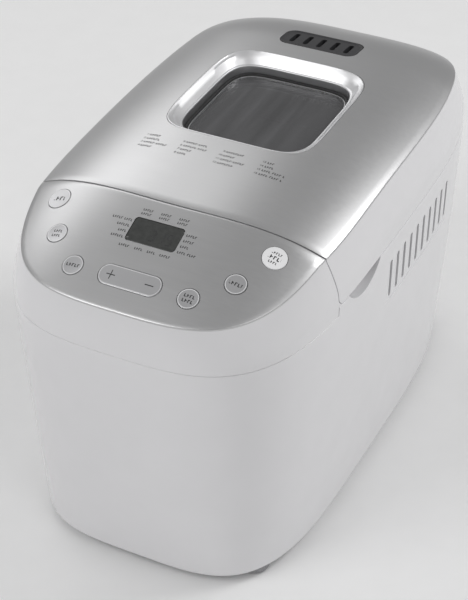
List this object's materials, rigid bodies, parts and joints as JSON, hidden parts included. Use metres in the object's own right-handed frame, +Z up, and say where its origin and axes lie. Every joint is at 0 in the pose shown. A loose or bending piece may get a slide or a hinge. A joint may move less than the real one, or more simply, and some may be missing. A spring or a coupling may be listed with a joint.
{
  "type": "bread machine",
  "caption": "Free-standing bread machine with a domed hinged lid with window, sloping key panel, lift-out pan and belt-driven kneading paddles.",
  "frame": {"origin": "on the supporting surface, under the middle of the machine's bounding box", "axes": "+Z up, the control panel faces -Y, +X is the right side seen from the front, the lid hinge is at +Y"},
  "size_m": [0.254, 0.4267, 0.285],
  "materials": {
    "white_casing": "glossy moulded plastic",
    "silver_top": "satin brushed metal skin",
    "window_frame": "polished satin",
    "silver_key": "silver lacquer",
    "white_key": "white lacquer",
    "display": "smoked display window",
    "smoked_glass": "tinted heat-resistant glass",
    "black_seal": "matte",
    "dark_grille": "fine texture",
    "liner_metal": "rolled sheet",
    "non_stick": "non-stick coating",
    "steel": "bright steel",
    "galvanised": "galvanised sheet and castings",
    "bearing_brass": "sintered bronze",
    "pulley_plastic": "moulded nylon",
    "pulley_metal": "turned",
    "belt_rubber": "matte",
    "foot_rubber": "matte",
    "circuit_board": "solder mask",
    "capacitor_case": "moulded case"
  },
  "bodies": {
    "machine": {"lower_housing": "white_casing", "upper_frame": "white_casing", "base_plate": "white_casing", "foot_front_left": "foot_rubber", "foot_front_right": "foot_rubber", "foot_rear_left": "foot_rubber", "foot_rear_right": "foot_rubber", "base_screw_front_left": "steel", "base_screw_front_right": "steel", "base_screw_rear_left": "steel", "base_screw_rear_right": "steel", "control_panel": "silver_top", "lcd_lens": "display", "lcd_module": "pulley_plastic", "control_board": "circuit_board", "power_board": "circuit_board", "motor_capacitor": "capacitor_case", "oven_chamber": "liner_metal", "pan_seat": "liner_metal", "heating_element": "steel", "temperature_sensor": "pulley_plastic", "chassis_plate": "galvanised", "bearing_housing_a": "bearing_brass", "bearing_housing_b": "bearing_brass", "drive_motor": "galvanised", "primary_belt": "belt_rubber", "secondary_belt": "belt_rubber", "cord_inlet": "pulley_plastic", "hinge_pin_left": "steel", "hinge_pin_right": "steel"},
    "lid": {"lid_shell": "white_casing", "lid_top_sheet": "silver_top", "window_bezel": "window_frame", "window_glass": "smoked_glass", "window_seal": "black_seal", "inner_lid": "liner_metal", "inner_glass": "smoked_glass", "vent_grille": "dark_grille"},
    "pan": {"bread_pan": "non_stick"},
    "handle": {"pan_handle": "steel"},
    "front_paddle": {"pan_shaft_a": "steel", "kneading_paddle_a": "non_stick"},
    "rear_paddle": {"pan_shaft_b": "steel", "kneading_paddle_b": "non_stick"},
    "front_drive": {"drive_shaft_a": "steel", "drive_pulley_a": "pulley_plastic", "drive_coupling_a": "steel"},
    "rear_drive": {"drive_shaft_b": "steel", "drive_pulley_b": "pulley_plastic", "drive_coupling_b": "steel"},
    "motor_rotor": {"motor_shaft": "steel", "motor_pulley": "pulley_metal"},
    "key_menu": {"key_menu": "silver_key"},
    "key_start": {"key_start": "white_key"},
    "key_loaf_size": {"key_loaf_size": "silver_key"},
    "key_colour": {"key_colour": "silver_key"},
    "key_dough": {"key_dough": "silver_key"},
    "key_home_made": {"key_home_made": "silver_key"},
    "key_plus_minus": {"key_plus_minus": "silver_key"}
  },
  "joints": [
    {"name": "lid_hinge", "type": "hinge", "parent": "machine", "child": "lid", "pos_m": [0, 0.2085, 0.217], "axis": [-1, 0, 0], "range_deg": [0, 80]},
    {"name": "pan_lift", "type": "slide", "parent": "machine", "child": "pan", "axis": [0, 0, 1], "range_m": [0, 0.01]},
    {"name": "pan_handle_swing", "type": "hinge", "parent": "pan", "child": "handle", "pos_m": [0, 0.035, 0.18], "axis": [0, -1, 0], "range_deg": [0, 12]},
    {"name": "drive_spin", "type": "hinge", "parent": "machine", "child": "front_drive", "pos_m": [0, -0.02, 0.02], "axis": [0, 0, 1], "continuous": true},
    {"name": "rear_drive_spin", "type": "hinge", "parent": "machine", "child": "rear_drive", "pos_m": [0, 0.09, 0.02], "axis": [0, 0, 1], "continuous": true},
    {"name": "motor_spin", "type": "hinge", "parent": "machine", "child": "motor_rotor", "pos_m": [0, -0.16, 0.034], "axis": [0, 0, 1], "continuous": true},
    {"name": "front_paddle_spin", "type": "hinge", "parent": "pan", "child": "front_paddle", "pos_m": [0, -0.02, 0.084], "axis": [0, 0, 1], "continuous": true},
    {"name": "rear_paddle_spin", "type": "hinge", "parent": "pan", "child": "rear_paddle", "pos_m": [0, 0.09, 0.084], "axis": [0, 0, 1], "continuous": true},
    {"name": "key_menu_press", "type": "slide", "parent": "machine", "child": "key_menu", "axis": [0.2562, 0.3136, -0.9144], "range_m": [0, 0.0008], "stiffness_N_per_m": 2000},
    {"name": "key_start_press", "type": "slide", "parent": "machine", "child": "key_start", "axis": [-0.2562, 0.3136, -0.9144], "range_m": [0, 0.0008], "stiffness_N_per_m": 2000},
    {"name": "key_loaf_size_press", "type": "slide", "parent": "machine", "child": "key_loaf_size", "axis": [0.1712, 0.3659, -0.9148], "range_m": [0, 0.0008], "stiffness_N_per_m": 2000},
    {"name": "key_colour_press", "type": "slide", "parent": "machine", "child": "key_colour", "axis": [-0.1712, 0.3659, -0.9148], "range_m": [0, 0.0008], "stiffness_N_per_m": 2000},
    {"name": "key_dough_press", "type": "slide", "parent": "machine", "child": "key_dough", "axis": [0.0616, 0.4028, -0.9132], "range_m": [0, 0.0008], "stiffness_N_per_m": 2000},
    {"name": "key_home_made_press", "type": "slide", "parent": "machine", "child": "key_home_made", "axis": [-0.0616, 0.4028, -0.9132], "range_m": [0, 0.0008], "stiffness_N_per_m": 2000},
    {"name": "plus_minus_rock", "type": "hinge", "parent": "machine", "child": "key_plus_minus", "pos_m": [0, -0.182, 0.2541], "axis": [0, 0.9158, 0.4016], "range_deg": [-2.5, 2.5], "stiffness_Nm_per_rad": 0.6}
  ],
  "couplings": [
    {"joint": "rear_drive_spin", "follows": "drive_spin", "ratio": 1},
    {"joint": "motor_spin", "follows": "drive_spin", "ratio": 4.4444},
    {"joint": "front_paddle_spin", "follows": "drive_spin", "ratio": 1},
    {"joint": "rear_paddle_spin", "follows": "drive_spin", "ratio": 1}
  ]
}
